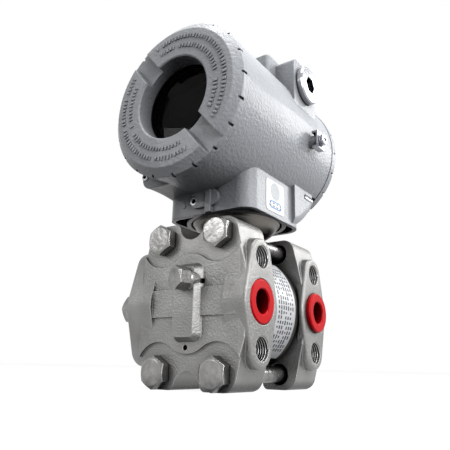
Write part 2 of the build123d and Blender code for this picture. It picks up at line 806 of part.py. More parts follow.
# Housing casting
with BuildPart() as main_housing:
    with BuildSketch(across(front, seam)):
        Circle(barrel_radius)
    extrude(amount=-2 * seam)
    # Neck block, with its front corners tighter than the back ones
    with BuildSketch(level(block_bottom)) as block:
        Rectangle(2 * block_half_width, 2 * block_half_length)
        fillet(block.vertices().group_by(Axis.Y)[0], block_round_front)
        fillet(block.vertices().group_by(Axis.Y)[-1], block_round_back)
    extrude(amount=housing_rise - block_bottom)
    add(make_lug(block_bottom))
    add(make_lug(front_lug_root).rotate(Axis((0, housing_y, 0), (0, 0, 1)), 180))
    # Block of the cable entries and the flat pad on top
    with BuildSketch(entry_section) as block:
        with Locations((0, entry_top / 2)):
            Rectangle(2 * entry_half, entry_top)
        fillet(block.vertices().group_by(Axis.Z)[-1], entry_round)
    extrude(amount=2 * entry_face)
    pad_length = pad_front + 2 * entry_half
    with BuildSketch(Plane(origin=(0, housing_y + entry_y + entry_half - pad_length / 2, housing_height))):
        RectangleRounded(2 * pad_half_width, pad_length, pad_round)
    extrude(amount=pad_top)
    # Ground boss, raised seat of the neck set screw and the stay rib beside it
    with BuildSketch(ground_plane(0)):
        Circle(ground_boss_radius)
    extrude(amount=ground_boss_end)
    block_front = cell_y - block_half_length
    with BuildSketch(Plane(origin=(0, block_front, port_height), x_dir=(1, 0, 0), z_dir=(0, -1, 0))):
        with Locations((0, set_z)):
            RectangleRounded(2 * set_pad_half, set_pad_height, set_pad_height / 2 - 0.1)
    extrude(amount=set_pad)
    with BuildSketch(Plane(origin=(0, block_front, port_height), x_dir=(1, 0, 0), z_dir=(0, -1, 0))):
        with Locations((stay_rib_x, (block_bottom + stay_rib_top) / 2)):
            Rectangle(stay_rib_width, stay_rib_top - block_bottom)
    extrude(amount=stay_rib_depth)
    with BuildSketch(Plane(origin=(0, block_front, port_height), x_dir=(1, 0, 0), z_dir=(0, -1, 0))):
        with Locations((set_pip_x, set_pip_z)):
            Circle(set_pip_radius)
    extrude(amount=set_pip)
    # Both compartments with the wider thread at their mouths, and the bulkhead between them
    for side in (front, rear):
        with BuildSketch(across(side, bulkhead)):
            Circle(cavity_radius)
        extrude(amount=seam - bulkhead, mode=Mode.SUBTRACT)
        with BuildSketch(across(side, seam - thread_depth)):
            Circle(thread_radius)
        extrude(amount=thread_depth, mode=Mode.SUBTRACT)
    with BuildSketch(across(front, bulkhead)):
        with Locations((0, -feedthrough_z)):
            Circle(feedthrough_radius)
    extrude(amount=-2 * bulkhead, mode=Mode.SUBTRACT)
    for hand in (right, left):
        with BuildSketch(entry_plane(hand)):
            Circle(entry_bore)
        extrude(amount=-entry_depth, mode=Mode.SUBTRACT)
    # Underside of the block: neck socket, neck bore, wire hole and corner pockets
    with BuildSketch(level(block_bottom)):
        Circle(socket_radius)
    extrude(amount=neck_collar_top + seat_gap - block_bottom, mode=Mode.SUBTRACT)
    with BuildSketch(level(block_bottom)):
        Circle(neck_thread_radius + running_gap)
    extrude(amount=neck_thread_top + seat_gap - block_bottom, mode=Mode.SUBTRACT)
    with BuildSketch(Plane(origin=(0, housing_y - wire_hole_y, port_height + neck_collar_top))):
        Circle(wire_hole_radius)
    extrude(amount=housing_rise - cavity_radius / 2 - neck_collar_top, mode=Mode.SUBTRACT)
    with BuildSketch(level(block_bottom)) as pockets:
        Rectangle(2 * (block_half_width - pocket_wall), 2 * (block_half_length - pocket_wall))
        fillet(pockets.vertices().group_by(Axis.Y)[0], block_round_front - pocket_wall)
        fillet(pockets.vertices().group_by(Axis.Y)[-1], block_round_back - pocket_wall)
        Circle(socket_radius + pocket_wall, mode=Mode.SUBTRACT)
    extrude(amount=pocket_depth, mode=Mode.SUBTRACT)
    # Threaded holes of the small screws
    for side in (front, rear):
        with BuildSketch(lock_plane(side)):
            Circle(lock_radius)
        extrude(amount=-lock_length, mode=Mode.SUBTRACT)
        with BuildSketch(lock_plane(side)):
            Circle(lock_scoop)
        extrude(amount=seam - lug_end, mode=Mode.SUBTRACT)
    with BuildSketch(set_plane):
        Circle(set_radius)
    extrude(amount=-set_hole, mode=Mode.SUBTRACT)
    with BuildSketch(ground_plane(ground_boss_end)):
        Circle(ground_screw_radius + fixed_gap)
    extrude(amount=-ground_screw_length, mode=Mode.SUBTRACT)

# Covers with their seals, and what the front one holds
covers = {"front": make_cover(front, blind=False), "rear": make_cover(rear, blind=True)}
cover_seals = {name: make_cover_seal(side) for name, side in sides.items()}
lock_screws = {name: make_lock_screw(side) for name, side in sides.items()}
glass_back = glass_front - glass_gasket - glass_thickness
with BuildPart() as window_gasket:
    with BuildSketch(across(front, glass_front - glass_gasket)):
        Circle(glass_radius - fixed_gap)
        Circle(window_radius, mode=Mode.SUBTRACT)
    extrude(amount=glass_gasket)
with BuildPart() as window_glass:
    with BuildSketch(across(front, glass_back)):
        Circle(glass_radius - fixed_gap)
    extrude(amount=glass_thickness)
with BuildPart() as glass_retainer:
    with BuildSketch(across(front, glass_back - retainer_length)):
        Circle(glass_radius - fixed_gap)
        Circle(retainer_inner, mode=Mode.SUBTRACT)
    extrude(amount=retainer_length)

display_base_front = seam - skirt_length + collar_step - display_gap
display_front = display_base_front + display_step

# Electronics in the front compartment, terminals in the rear one
with BuildPart() as electronics_module:
    with BuildSketch(across(front, bulkhead)):
        Circle(module_radius)
    extrude(amount=module_front - bulkhead)
with BuildPart() as display_module:
    with BuildSketch(across(front, module_front)):
        Circle(display_base_radius)
    extrude(amount=display_base_front - module_front)
    with BuildSketch(across(front, display_base_front)):
        Circle(display_radius)
    extrude(amount=display_front - display_base_front)
    with BuildSketch(across(front, display_front)):
        with Locations((0, screen_rise)):
            Rectangle(screen_width, screen_height)
    extrude(amount=-screen_depth, mode=Mode.SUBTRACT)
with BuildPart() as display_screen:
    with BuildSketch(across(front, display_front - screen_depth)):
        with Locations((0, screen_rise)):
            Rectangle(screen_width - 2 * fixed_gap, screen_height - 2 * fixed_gap)
    extrude(amount=screen_depth / 2)
with BuildPart() as terminal_block:
    with BuildSketch(across(rear, bulkhead)) as strip:
        with Locations((0, -terminal_drop)):
            Rectangle(terminal_width, terminal_height)
        fillet(strip.vertices(), terminal_round)
    extrude(amount=terminal_depth)
    with BuildSketch(across(rear, bulkhead + terminal_depth)):
        with Locations((0, -terminal_drop)):
            with GridLocations(terminal_pitch, 1, 3, 1):
                Circle(terminal_screw_radius / 2 + fixed_gap)
    extrude(amount=-terminal_depth / 2, mode=Mode.SUBTRACT)
with BuildPart() as terminal_screws:
    with BuildSketch(across(rear, bulkhead + terminal_depth)):
        with Locations((0, -terminal_drop)):
            with GridLocations(terminal_pitch, 1, 3, 1):
                Circle(terminal_screw_radius)
    extrude(amount=terminal_screw_head)
    with BuildSketch(across(rear, bulkhead + terminal_depth)):
        with Locations((0, -terminal_drop)):
            with GridLocations(terminal_pitch, 1, 3, 1):
                Circle(terminal_screw_radius / 2)
    extrude(amount=-terminal_depth / 2 + seat_gap)

# Blanking plugs of the cable entries with their seals
hands = {"right": right, "left": left}
entry_plugs = {name: make_entry_plug(hand) for name, hand in hands.items()}
entry_seals = {name: make_entry_seal(hand) for name, hand in hands.items()}

# Ground terminal: a U clamp held by a washer and a socket screw
with BuildPart() as ground_clamp:
    with BuildSketch(ground_plane(ground_boss_end)):
        Rectangle(clamp_depth, clamp_height)
        Circle(clamp_hole, mode=Mode.SUBTRACT)
    extrude(amount=clamp_sheet)
    with BuildSketch(ground_plane(ground_boss_end + clamp_sheet)):
        with GridLocations(1, clamp_height - clamp_sheet, 1, 2):
            Rectangle(clamp_depth, clamp_sheet)
    extrude(amount=-clamp_leg)
with BuildPart() as ground_washer_ring:
    with BuildSketch(ground_plane(ground_boss_end + clamp_sheet)):
        Circle(ground_washer_radius)
        Circle(clamp_hole, mode=Mode.SUBTRACT)
    extrude(amount=ground_washer)
with BuildPart() as ground_screw:
    head = ground_plane(ground_boss_end + clamp_sheet + ground_washer)
    shank = clamp_sheet + ground_washer + ground_screw_length - seat_gap
    turn(head, [
        (0, -shank), (ground_screw_radius, -shank), (ground_screw_radius, 0), (ground_head_radius, 0),
        (ground_head_radius, ground_head - ground_head_edge),
        (ground_head_radius - ground_head_edge, ground_head), (0, ground_head),
    ])
    socket(head.offset(ground_head), ground_socket, ground_socket_depth)

# Neck set screw and the two labels' backings
with BuildPart() as neck_set_screw:
    with BuildSketch(set_plane.offset(-set_recess)):
        Circle(set_radius - fixed_gap)
    extrude(amount=-set_length)
    socket(set_plane.offset(-set_recess), set_socket, set_socket)
label_plane = Plane(
    origin=(block_half_width, housing_y + side_label_y, port_height), x_dir=(0, 1, 0), z_dir=(1, 0, 0)
)
with BuildPart() as side_label:
    with BuildSketch(label_plane):
        with Locations((0, side_label_z)):
            RectangleRounded(side_label_width, side_label_height, side_label_round)
    extrude(amount=label_thickness)

pieces = {
    "main_housing": main_housing,
    "window_glass": window_glass,
    "window_gasket": window_gasket,
    "glass_retainer": glass_retainer,
    "display_module": display_module,
    "display_screen": display_screen,
    "electronics_module": electronics_module,
    "terminal_block": terminal_block,
    "terminal_screws": terminal_screws,
    "ground_clamp": ground_clamp,
    "ground_washer": ground_washer_ring,
    "ground_screw": ground_screw,
    "neck_set_screw": neck_set_screw,
    "side_label": side_label,
    "neck": neck,
    "neck_seal": neck_seal,
    "cell_body": cell_body,
    "cell_label": cell_label,
    "sensor_capsule": sensor_capsule,
    "flange_bolts": flange_bolts,
    "flange_nuts": flange_nuts,
}
for name in sides:
    pieces[f"{name}_cover"] = covers[name]
    pieces[f"{name}_cover_seal"] = cover_seals[name]
    pieces[f"{name}_lock_screw"] = lock_screws[name]
    pieces[f"{name}_flange"] = flanges[name]
    pieces[f"{name}_gasket"] = gaskets[name]
    pieces[f"{name}_diaphragm"] = diaphragms[name]
    pieces[f"{name}_vent_screw"] = middle_vents[name]
    pieces[f"{name}_side_plug"] = side_plugs[name]
    pieces[f"{name}_port_plug"] = port_plugs[name]
for name in hands:
    pieces[f"{name}_entry_plug"] = entry_plugs[name]
    pieces[f"{name}_entry_seal"] = entry_seals[name]

os.makedirs("parts", exist_ok=True)
for name, piece in pieces.items():
    piece.part.label = name
    export_step(piece.part, f"parts/{name}.step")
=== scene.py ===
"""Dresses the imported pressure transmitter: finishes, threads, raised marks, print and studio."""
import logging
import math
from collections.abc import Callable, Iterable
from dataclasses import dataclass, field
from enum import Enum

import bmesh
import bpy
from mathutils import Matrix, Vector


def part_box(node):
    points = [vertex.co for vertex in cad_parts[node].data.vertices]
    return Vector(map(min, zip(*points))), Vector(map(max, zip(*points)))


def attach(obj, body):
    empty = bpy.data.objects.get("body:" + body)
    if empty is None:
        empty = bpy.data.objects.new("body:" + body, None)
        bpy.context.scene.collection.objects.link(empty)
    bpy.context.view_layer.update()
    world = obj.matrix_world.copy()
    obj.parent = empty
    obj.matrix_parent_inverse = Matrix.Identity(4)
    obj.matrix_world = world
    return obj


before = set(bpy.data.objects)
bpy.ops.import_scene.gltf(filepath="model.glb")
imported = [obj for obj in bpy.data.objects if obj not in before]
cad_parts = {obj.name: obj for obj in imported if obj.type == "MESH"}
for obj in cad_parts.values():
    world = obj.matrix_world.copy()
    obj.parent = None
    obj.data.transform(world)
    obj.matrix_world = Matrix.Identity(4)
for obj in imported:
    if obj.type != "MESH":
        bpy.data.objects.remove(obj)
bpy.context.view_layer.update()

MM = 0.001
FRONT, REAR = -1, 1
SIDES = {"front": FRONT, "rear": REAR}
HANDS = {"right": 1, "left": -1}
# Colour sockets of a Mix node, which share their names with its other kinds.
MIX_FIRST, MIX_SECOND, MIX_RESULT = 6, 7, 2
MOTTLE_OCTAVES, GRAIN_OCTAVES = 3.0, 2.0
BEVEL_SAMPLES, HOLLOW_SAMPLES = 4, 8
# How far the softened normal agrees with the true one where the lighter edge starts, and where it
# is full.
EDGE_STARTS, EDGE_FULL = 0.995, 0.86
# How much lighter an edge goes: worn edges with a painted highlight.
EDGE_GAIN = 1.7
# Open share of the surroundings where the painted crevice shade is full, and where it ends.
SHADE_FULL, SHADE_ENDS = 0.2, 0.92
# A Wave Texture has this many bands over a length of tau at scale 1.
WAVE_BANDS = 20
THREAD_STEPS, RIDGE_CORNERS, PATCH_STEPS = 36, 4, 48
log = logging.getLogger("transmitter")


class Surface(Enum):
    """Finishes of the transmitter's pieces, each with the record's slot that it belongs to."""

    PAINT = "paint"
    THREADED = "aluminium"
    CAST = "cast_stainless"
    TURNED = "stainless"
    BRIGHT = "bolt_steel"
    PLATED = "plated_steel"
    RUBBER = "rubber"
    SHEET = "gasket"
    GLASS = "glass"
    BLACK = "black_plastic"
    SCREEN = "screen"
    RED = "red_plastic"
    FILM = "label"


@dataclass(frozen=True)
class Finish:
    """How one finish looks.

    Args:
        tint: main colour, linear.
        shade: colour that the mottling turns to.
        metallic: 1 for bare metal.
        gloss: lowest and highest roughness.
        mottling: scale of the slow changes of colour and roughness, per metre.
        grain: scale of the fine bump, per metre.
        grain_depth: height of the fine bump, in metres.
        wave_pitch: pitch of turned rings or threads along the axis of turning, in metres, or 0.
        wave_axis: axis of those rings, X, Y or Z.
        wave_depth: their height, in metres.
        edge: radius of the softened edges, in metres.
        coat: weight of a clear coat.
        clear: transmission weight.
        bend: index of refraction.
        sheen_level: how much a coat-free surface mirrors, 0.5 being common.
        reach: how far away neighbours cast painted shade into a crevice, in metres, or 0.
        crevice_shade: share of the colour left deep in a crevice, a painted shade.
        wear_and_highlight: how much edges go lighter, partly worn and partly a painted highlight.
    """

    tint: tuple[float, float, float]
    shade: tuple[float, float, float]
    metallic: float = 0.0
    gloss: tuple[float, float] = (0.4, 0.5)
    mottling: float = 60.0
    grain: float = 900.0
    grain_depth: float = 0.00005
    wave_pitch: float = 0.0
    wave_axis: str = "Y"
    wave_depth: float = 0.0
    edge: float = 0.0
    coat: float = 0.0
    clear: float = 0.0
    bend: float = 1.45
    sheen_level: float = 0.5
    reach: float = 0.0
    crevice_shade: float = 0.2
    wear_and_highlight: float = 0.0


# In these finishes a reach paints shade into crevices, and lighter edges are worn edges with a
# painted highlight.
FINISHES = {
    Surface.PAINT: Finish(
        (0.40, 0.415, 0.44), (0.35, 0.365, 0.39), gloss=(0.34, 0.46), grain=650.0,
        grain_depth=0.00038, edge=0.0009, coat=0.14, sheen_level=0.3, reach=0.03,
        crevice_shade=0.15, wear_and_highlight=0.25,
    ),
    Surface.THREADED: Finish(
        (0.62, 0.62, 0.63), (0.52, 0.52, 0.53), metallic=1.0, gloss=(0.25, 0.4),
        wave_pitch=0.002, wave_depth=0.0005, reach=0.01,
    ),
    Surface.CAST: Finish(
        (0.34, 0.339, 0.332), (0.14, 0.139, 0.136), metallic=0.8, gloss=(0.34, 0.46),
        mottling=55.0, grain=1100.0, grain_depth=0.00025, edge=0.0008, reach=0.006,
        crevice_shade=0.12, wear_and_highlight=0.6,
    ),
    Surface.TURNED: Finish(
        (0.20, 0.19, 0.175), (0.13, 0.122, 0.112), metallic=1.0, gloss=(0.26, 0.38),
        wave_pitch=0.0005, wave_axis="Z", wave_depth=0.00002, edge=0.0004, reach=0.012,
    ),
    Surface.BRIGHT: Finish(
        (0.40, 0.397, 0.39), (0.08, 0.079, 0.077), metallic=1.0, gloss=(0.20, 0.36),
        mottling=260.0, grain=520.0, grain_depth=0.0002, edge=0.0004, reach=0.008,
        crevice_shade=0.12, wear_and_highlight=0.7,
    ),
    Surface.PLATED: Finish(
        (0.44, 0.45, 0.47), (0.26, 0.27, 0.30), metallic=1.0, gloss=(0.10, 0.22),
        mottling=200.0, grain=600.0, grain_depth=0.00003, edge=0.0003, reach=0.006,
        crevice_shade=0.08,
    ),
    Surface.RUBBER: Finish(
        (0.018, 0.018, 0.019), (0.03, 0.03, 0.03), gloss=(0.55, 0.7), grain=1500.0,
    ),
    Surface.SHEET: Finish(
        (0.62, 0.61, 0.58), (0.55, 0.54, 0.51), gloss=(0.5, 0.65), grain=1200.0, reach=0.006,
    ),
    Surface.GLASS: Finish(
        (0.16, 0.165, 0.165), (0.16, 0.165, 0.165), gloss=(0.0, 0.0), grain_depth=0.0,
        clear=1.0, bend=1.12,
    ),
    Surface.BLACK: Finish(
        (0.006, 0.006, 0.0065), (0.011, 0.011, 0.012), gloss=(0.5, 0.65), grain=300.0,
        grain_depth=0.00002, sheen_level=0.08,
    ),
    Surface.SCREEN: Finish(
        (0.014, 0.016, 0.014), (0.017, 0.019, 0.017), gloss=(0.2, 0.3), grain_depth=0.0,
        sheen_level=0.15,
    ),
    Surface.RED: Finish(
        (0.58, 0.004, 0.009), (0.48, 0.002, 0.006), gloss=(0.24, 0.38), grain=700.0,
        grain_depth=0.00004, edge=0.0004, sheen_level=0.1, reach=0.013, crevice_shade=0.01,
    ),
    Surface.FILM: Finish(
        (0.60, 0.61, 0.63), (0.54, 0.55, 0.58), gloss=(0.25, 0.4), grain=800.0,
        grain_depth=0.00003,
    ),
}
# Thread in the mounting holes; its reach paints shade deep inside them.
CUT_THREAD = Finish(
    (0.46, 0.46, 0.455), (0.34, 0.34, 0.335), metallic=1.0, gloss=(0.12, 0.24),
    grain_depth=0.0, reach=0.005, crevice_shade=0.04,
)
BLUE = Finish((0.02, 0.17, 0.52), (0.025, 0.2, 0.56), gloss=(0.35, 0.45), grain_depth=0.0)
GREY = Finish(
    (0.30, 0.32, 0.34), (0.46, 0.48, 0.50), gloss=(0.35, 0.45), mottling=400.0, grain_depth=0.0,
)
PRINT = Finish((0.03, 0.03, 0.035), (0.05, 0.05, 0.055), gloss=(0.4, 0.5), grain_depth=0.0)


class MaterialMaker:
    """Builds each finish once as a procedural material on object coordinates."""

    def __init__(self) -> None:
        """Start with an empty rack."""
        self.rack: dict[str, bpy.types.Material] = {}

    def get(self, surface: Surface) -> bpy.types.Material:
        """Material of a surface, made on first use."""
        return self.named(surface.value, FINISHES[surface])

    def named(self, name: str, finish: Finish) -> bpy.types.Material:
        """Material of a finish under a name of its own.

        Args:
            name: name of the material.
            finish: what it looks like.

        Returns:
            The material, made on first use.
        """
        if name not in self.rack:
            self.rack[name] = self._build(name, finish)
        return self.rack[name]

    def _build(self, name: str, finish: Finish) -> bpy.types.Material:
        """Shader of a finish: mottled, worn at edges with a painted highlight, painted shade in
        crevices, grain and rings.

        Args:
            name: name of the material.
            finish: what it looks like.

        Returns:
            The new material.
        """
        material = bpy.data.materials.new(name)
        material.use_nodes = True
        nodes, links = material.node_tree.nodes, material.node_tree.links
        shader = nodes["Principled BSDF"]
        shader.inputs["Metallic"].default_value = finish.metallic
        shader.inputs["Coat Weight"].default_value = finish.coat
        shader.inputs["Transmission Weight"].default_value = finish.clear
        shader.inputs["IOR"].default_value = finish.bend
        shader.inputs["Specular IOR Level"].default_value = finish.sheen_level
        place = nodes.new("ShaderNodeTexCoord").outputs["Object"]
        mottle = self._noise(nodes, links, place, finish.mottling, MOTTLE_OCTAVES)
        colour = nodes.new("ShaderNodeMix")
        colour.data_type = "RGBA"
        links.new(mottle, colour.inputs["Factor"])
        colour.inputs[MIX_FIRST].default_value = (*finish.tint, 1.0)
        colour.inputs[MIX_SECOND].default_value = (*finish.shade, 1.0)
        shown = colour.outputs[MIX_RESULT]
        normal = None
        if finish.edge:
            soften = nodes.new("ShaderNodeBevel")
            soften.samples = BEVEL_SAMPLES
            soften.inputs["Radius"].default_value = finish.edge
            normal = soften.outputs["Normal"]
        # Lighter edges: partly worn edges, partly a painted highlight.
        if finish.wear_and_highlight:
            shown = self._worn_and_highlit(nodes, links, shown, normal, finish)
        # Painted shade: the colour darkens in crevices, where ambient occlusion finds close
        # neighbours.
        if finish.reach:
            shown = self._crevice_shaded(nodes, links, shown, finish)
        links.new(shown, shader.inputs["Base Color"])
        gloss = nodes.new("ShaderNodeMapRange")
        gloss.inputs["To Min"].default_value, gloss.inputs["To Max"].default_value = finish.gloss
        links.new(mottle, gloss.inputs["Value"])
        links.new(gloss.outputs["Result"], shader.inputs["Roughness"])
        if finish.grain_depth:
            grain = self._noise(nodes, links, place, finish.grain, GRAIN_OCTAVES)
            normal = self._bump(nodes, links, grain, finish.grain_depth, normal)
        if finish.wave_depth:
            rings = nodes.new("ShaderNodeTexWave")
            rings.bands_direction = finish.wave_axis
            rings.inputs["Scale"].default_value = math.tau / finish.wave_pitch / WAVE_BANDS
            links.new(place, rings.inputs["Vector"])
            normal = self._bump(nodes, links, rings.outputs["Fac"], finish.wave_depth, normal)
        if normal is not None:
            links.new(normal, shader.inputs["Normal"])
        return material

    @staticmethod
    def _worn_and_highlit(nodes: bpy.types.Nodes, links: bpy.types.NodeLinks, colour: bpy.types.NodeSocket,
              soft: bpy.types.NodeSocket, finish: Finish) -> bpy.types.NodeSocket:
        """Colour that is lighter where the softened normal leaves the true one, at an edge: worn
        edges with a painted highlight.

        Args:
            nodes: the material's nodes.
            links: the material's links.
            colour: socket of the clean colour.
            soft: socket of the softened normal.
            finish: its tint and how much lighter its edges go.

        Returns:
            The socket of the worn colour.
        """
        along = nodes.new("ShaderNodeVectorMath")
        along.operation = "DOT_PRODUCT"
        links.new(soft, along.inputs[0])
        links.new(nodes.new("ShaderNodeNewGeometry").outputs["Normal"], along.inputs[1])
        edge = nodes.new("ShaderNodeMapRange")
        edge.inputs["From Min"].default_value = EDGE_STARTS
        edge.inputs["From Max"].default_value = EDGE_FULL
        edge.inputs["To Max"].default_value = finish.wear_and_highlight
        links.new(along.outputs["Value"], edge.inputs["Value"])
        lighter_edge = nodes.new("ShaderNodeMix")
        lighter_edge.data_type = "RGBA"
        links.new(edge.outputs["Result"], lighter_edge.inputs["Factor"])
        links.new(colour, lighter_edge.inputs[MIX_FIRST])
        # The edge colour is lighter than the tint: worn bare edges and a painted highlight.
        bare = (EDGE_GAIN * level for level in finish.tint)
        lighter_edge.inputs[MIX_SECOND].default_value = (*bare, 1.0)
        return lighter_edge.outputs[MIX_RESULT]

    @staticmethod
    def _crevice_shaded(nodes: bpy.types.Nodes, links: bpy.types.NodeLinks, colour: bpy.types.NodeSocket,
                  finish: Finish) -> bpy.types.NodeSocket:
        """Colour with painted shade: it goes dark deep in a crevice, where neighbours keep light
        out.

        Args:
            nodes: the material's nodes.
            links: the material's links.
            colour: socket of the clean colour.
            finish: its reach and the share of colour that the painted shade leaves.

        Returns:
            The socket of the darkened colour.
        """
        hollow = nodes.new("ShaderNodeAmbientOcclusion")
        hollow.samples = HOLLOW_SAMPLES
        hollow.inputs["Distance"].default_value = finish.reach
        share = nodes.new("ShaderNodeMapRange")
        share.inputs["From Min"].default_value = SHADE_FULL
        share.inputs["From Max"].default_value = SHADE_ENDS
        share.inputs["To Min"].default_value = finish.crevice_shade
        links.new(hollow.outputs["AO"], share.inputs["Value"])
        dimmed = nodes.new("ShaderNodeMix")
        dimmed.data_type = "RGBA"
        dimmed.blend_type = "MULTIPLY"
        dimmed.inputs["Factor"].default_value = 1.0
        links.new(colour, dimmed.inputs[MIX_FIRST])
        links.new(share.outputs["Result"], dimmed.inputs[MIX_SECOND])
        return dimmed.outputs[MIX_RESULT]

    @staticmethod
    def _noise(nodes: bpy.types.Nodes, links: bpy.types.NodeLinks, place: bpy.types.NodeSocket,
               scale: float, detail: float) -> bpy.types.NodeSocket:
        """Noise on a place.

        Args:
            nodes: the material's nodes.
            links: the material's links.
            place: coordinates that it follows.
            scale: its scale, per metre.
            detail: how many octaves it has.

        Returns:
            The socket of its value.
        """
        noise = nodes.new("ShaderNodeTexNoise")
        noise.inputs["Scale"].default_value = scale
        noise.inputs["Detail"].default_value = detail
        links.new(place, noise.inputs["Vector"])
        return noise.outputs["Fac"]

    @staticmethod
    def _bump(nodes: bpy.types.Nodes, links: bpy.types.NodeLinks, height: bpy.types.NodeSocket,
              depth: float, normal: bpy.types.NodeSocket | None) -> bpy.types.NodeSocket:
        """Bump over an earlier normal.

        Args:
            nodes: the material's nodes.
            links: the material's links.
            height: socket of the height, from 0 to 1.
            depth: height at 1, in metres.
            normal: normal that it is laid over, or None.

        Returns:
            The socket of the new normal.
        """
        bump = nodes.new("ShaderNodeBump")
        bump.inputs["Distance"].default_value = depth
        links.new(height, bump.inputs["Height"])
        if normal is not None:
            links.new(normal, bump.inputs["Normal"])
        return bump.outputs["Normal"]


class Pattern:
    """A geometry node tree with named inputs that ends in real meshes of one material."""

    def __init__(self, name: str) -> None:
        """Start the tree with its material input and its output.

        Args:
            name: what the tree is called.
        """
        self.group = bpy.data.node_groups.new(name, "GeometryNodeTree")
        self.group.interface.new_socket(
            "Geometry", in_out="OUTPUT", socket_type="NodeSocketGeometry",
        )
        self.entry = self.group.nodes.new("NodeGroupInput")
        self.identifiers: dict[str, str] = {}
        self.material = self.input("Material", "NodeSocketMaterial")

    def input(self, name: str, kind: str = "NodeSocketFloat") -> bpy.types.NodeSocket:
        """Add a named input.

        Args:
            name: what it is called.
            kind: type of its socket.

        Returns:
            The socket inside the tree.
        """
        socket = self.group.interface.new_socket(name, in_out="INPUT", socket_type=kind)
        self.identifiers[name] = socket.identifier
        return self.entry.outputs[name]

    def node(self, kind: str, feeds: dict | None = None, **options: object) -> bpy.types.Node:
        """Add a node.

        Args:
            kind: its type.
            feeds: what each input gets, a socket or a value, by name or number.
            options: its own properties.

        Returns:
            The node.
        """
        node = self.group.nodes.new(kind)
        for key, value in options.items():
            setattr(node, key, value)
        for key, value in (feeds or {}).items():
            if isinstance(value, bpy.types.NodeSocket):
                self.group.links.new(value, node.inputs[key])
            else:
                node.inputs[key].default_value = value
        return node

    def math(self, operation: str, first: object, second: object = 0.0) -> bpy.types.NodeSocket:
        """Result of a sum on two sockets or numbers."""
        return self.node("ShaderNodeMath", {0: first, 1: second}, operation=operation).outputs[0]

    def vector(self, x: object, y: object, z: object) -> bpy.types.NodeSocket:
        """Vector of three sockets or numbers."""
        return self.node("ShaderNodeCombineXYZ", {0: x, 1: y, 2: z}).outputs[0]

    def kept(self, fill: bpy.types.NodeSocket, seed: bpy.types.NodeSocket) -> bpy.types.NodeSocket:
        """True on a share of the points, chosen by a seed."""
        feeds = {"Probability": fill, "Seed": seed}
        return self.node("FunctionNodeRandomValue", feeds, data_type="BOOLEAN").outputs[3]

    def scaled(self, low: tuple[float, float, float], high: tuple[float, float, float],
               seed: bpy.types.NodeSocket) -> bpy.types.NodeSocket:
        """Scale of each point between two, chosen by a seed."""
        feeds = {0: low, 1: high, "Seed": seed}
        return self.node("FunctionNodeRandomValue", feeds, data_type="FLOAT_VECTOR").outputs[0]

    def close(self, geometry: bpy.types.NodeSocket) -> None:
        """End the tree: real meshes, then their material.

        Args:
            geometry: socket of what the tree has made.
        """
        real = self.node("GeometryNodeRealizeInstances", {"Geometry": geometry})
        dressed = self.node("GeometryNodeSetMaterial", {
            "Geometry": real.outputs[0], "Material": self.material,
        })
        exit_node = self.group.nodes.new("NodeGroupOutput")
        self.group.links.new(dressed.outputs[0], exit_node.inputs[0])

    def grow(self, values: dict[str, object]) -> bpy.types.Mesh:
        """Run the tree once.

        Args:
            values: each named input's value.

        Returns:
            A plain mesh.
        """
        carrier = bpy.data.objects.new("carrier", bpy.data.meshes.new("carrier"))
        bpy.context.scene.collection.objects.link(carrier)
        modifier = carrier.modifiers.new("pattern", "NODES")
        modifier.node_group = self.group
        for name, value in values.items():
            modifier[self.identifiers[name]] = value
        evaluated = carrier.evaluated_get(bpy.context.evaluated_depsgraph_get())
        mesh = bpy.data.meshes.new_from_object(evaluated)
        carrier.modifiers.remove(modifier)
        bpy.data.objects.remove(carrier)
        mesh.materials.clear()
        mesh.materials.append(values["Material"])
        return mesh


def ring_of_bars() -> Pattern:
    """Tree of raised bars along an arc, their widths varied by a fixed seed.

    Returns:
        The tree.
    """
    tree = Pattern("ring_of_bars")
    count = tree.input("Count", "NodeSocketInt")
    radius, start, sweep = (tree.input(name) for name in ("Radius", "Start", "Sweep"))
    width, length, rise = (tree.input(name) for name in ("Width", "Length", "Rise"))
    fill, seed = tree.input("Fill"), tree.input("Seed", "NodeSocketInt")
    share = tree.math("DIVIDE", tree.node("GeometryNodeInputIndex").outputs[0], count)
    angle = tree.math("ADD", start, tree.math("MULTIPLY", sweep, share))
    place = tree.vector(
        tree.math("MULTIPLY", radius, tree.math("COSINE", angle)),
        tree.math("MULTIPLY", radius, tree.math("SINE", angle)), 0.0,
    )
    points = tree.node("GeometryNodePoints", {"Count": count, "Position": place})
    bar = tree.node("GeometryNodeMeshCube", {
        "Size": tree.vector(length, width, tree.math("MULTIPLY", rise, 2.0)),
    })
    bars = tree.node("GeometryNodeInstanceOnPoints", {
        "Points": points.outputs[0], "Selection": tree.kept(fill, seed),
        "Instance": bar.outputs[0], "Rotation": tree.vector(0.0, 0.0, angle),
        "Scale": tree.scaled((0.7, 0.4, 1.0), (1.0, 1.6, 1.0), seed),
    })
    tree.close(bars.outputs[0])
    return tree


def helix_of_thread() -> Pattern:
    """Tree of one screw thread: a sharp ridge that winds up the Z axis.

    Returns:
        The tree.
    """
    tree = Pattern("helix_of_thread")
    turns, radius, height, depth = (
        tree.input(name) for name in ("Turns", "Radius", "Height", "Depth")
    )
    path = tree.node("GeometryNodeCurveSpiral", {
        "Resolution": THREAD_STEPS, "Rotations": turns, "Start Radius": radius,
        "End Radius": radius, "Height": height,
    })
    ridge = tree.node("GeometryNodeCurvePrimitiveCircle", {
        "Resolution": RIDGE_CORNERS, "Radius": depth,
    }, mode="RADIUS")
    thread = tree.node("GeometryNodeCurveToMesh", {
        "Curve": path.outputs[0], "Profile Curve": ridge.outputs[0],
    })
    tree.close(thread.outputs[0])
    return tree


